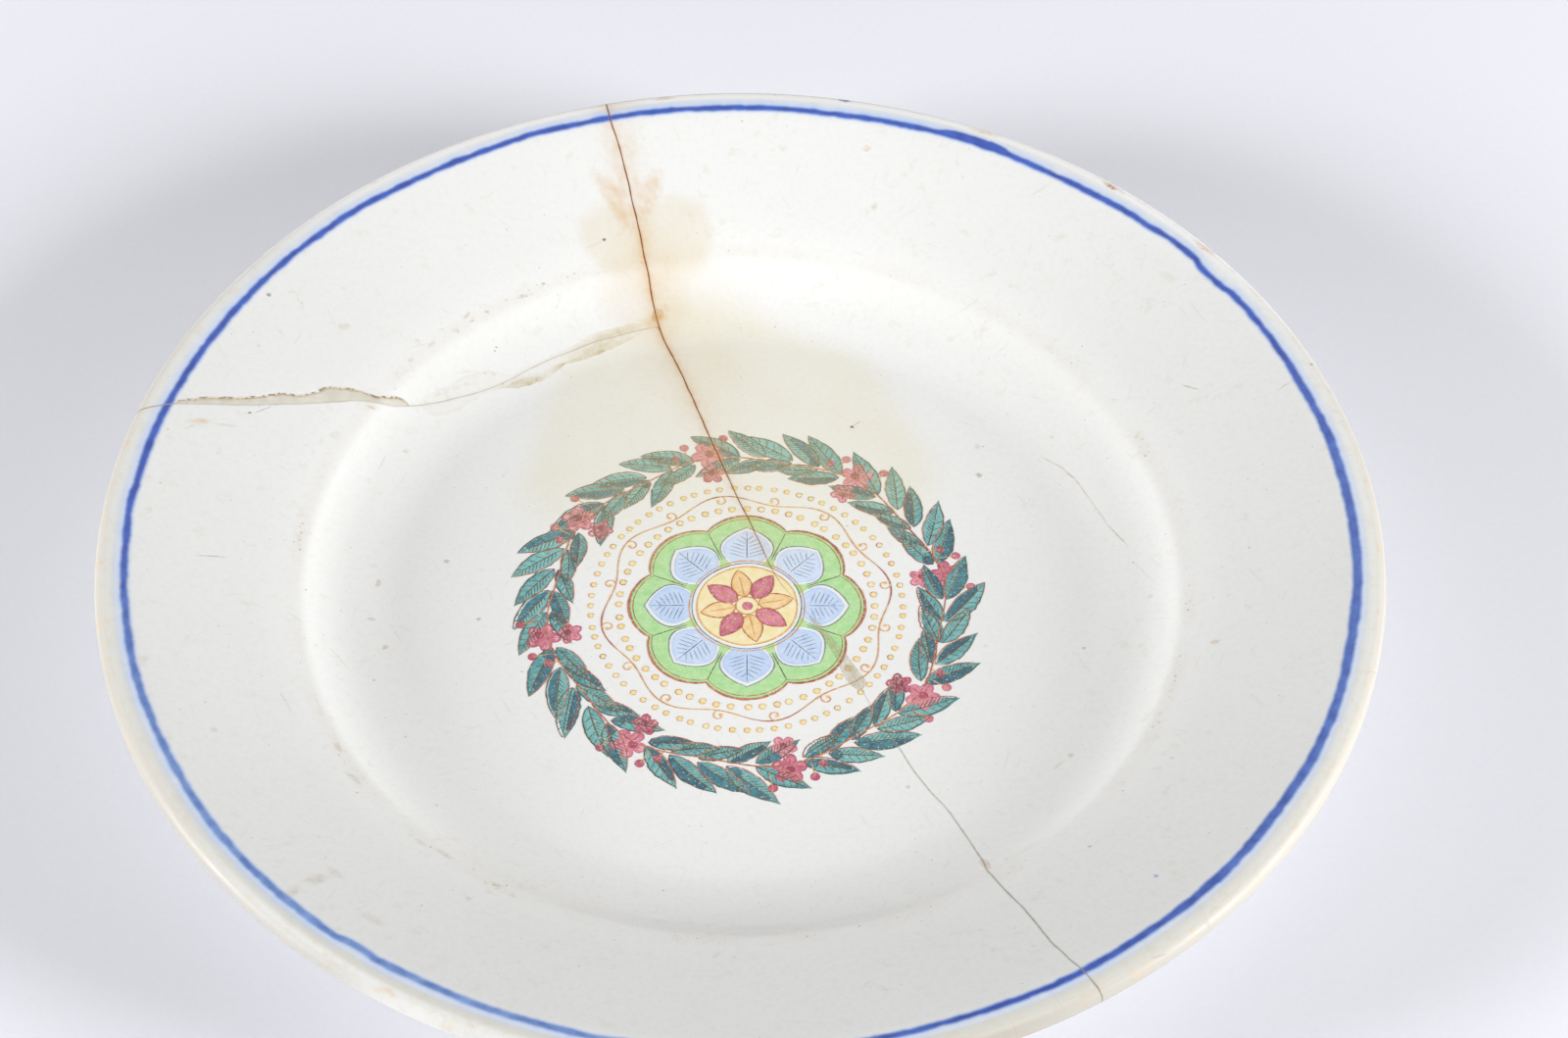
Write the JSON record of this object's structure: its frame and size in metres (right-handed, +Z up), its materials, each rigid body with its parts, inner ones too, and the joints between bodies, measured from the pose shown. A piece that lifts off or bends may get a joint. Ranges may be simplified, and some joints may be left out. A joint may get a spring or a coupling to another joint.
{
  "type": "broken plate in pieces",
  "caption": "Broken dinner plate glued together again: shallow well, sloping flange, foot ring, painted rim line, cracks with a chipped edge and dried glue.",
  "frame": {"origin": "bottom centre: on the surface that the foot ring stands on, under the plate's centre", "axes": "+Z up, through the centre of the well; +Y towards the rim where the main crack starts, and +X to the right of it, seen from above"},
  "size_m": [0.245, 0.245, 0.0275],
  "materials": {
    "white_glaze": "glossy off-white lead glaze over earthenware, with brown stains at the cracks, small specks and knife marks",
    "film_glue": "thin yellowed film of dried glue, glossy and uneven",
    "fill_glue": "dull tan dried glue with dirt in it"
  },
  "bodies": {
    "root": {"right_sherd": "white_glaze", "front_left_sherd": "white_glaze", "back_left_sherd": "white_glaze", "glue_chip_fill": "fill_glue", "glue_wall_film": "film_glue", "glue_well_smear": "film_glue", "glue_junction_dab": "fill_glue", "glue_verge_dab": "fill_glue"}
  },
  "joints": []
}
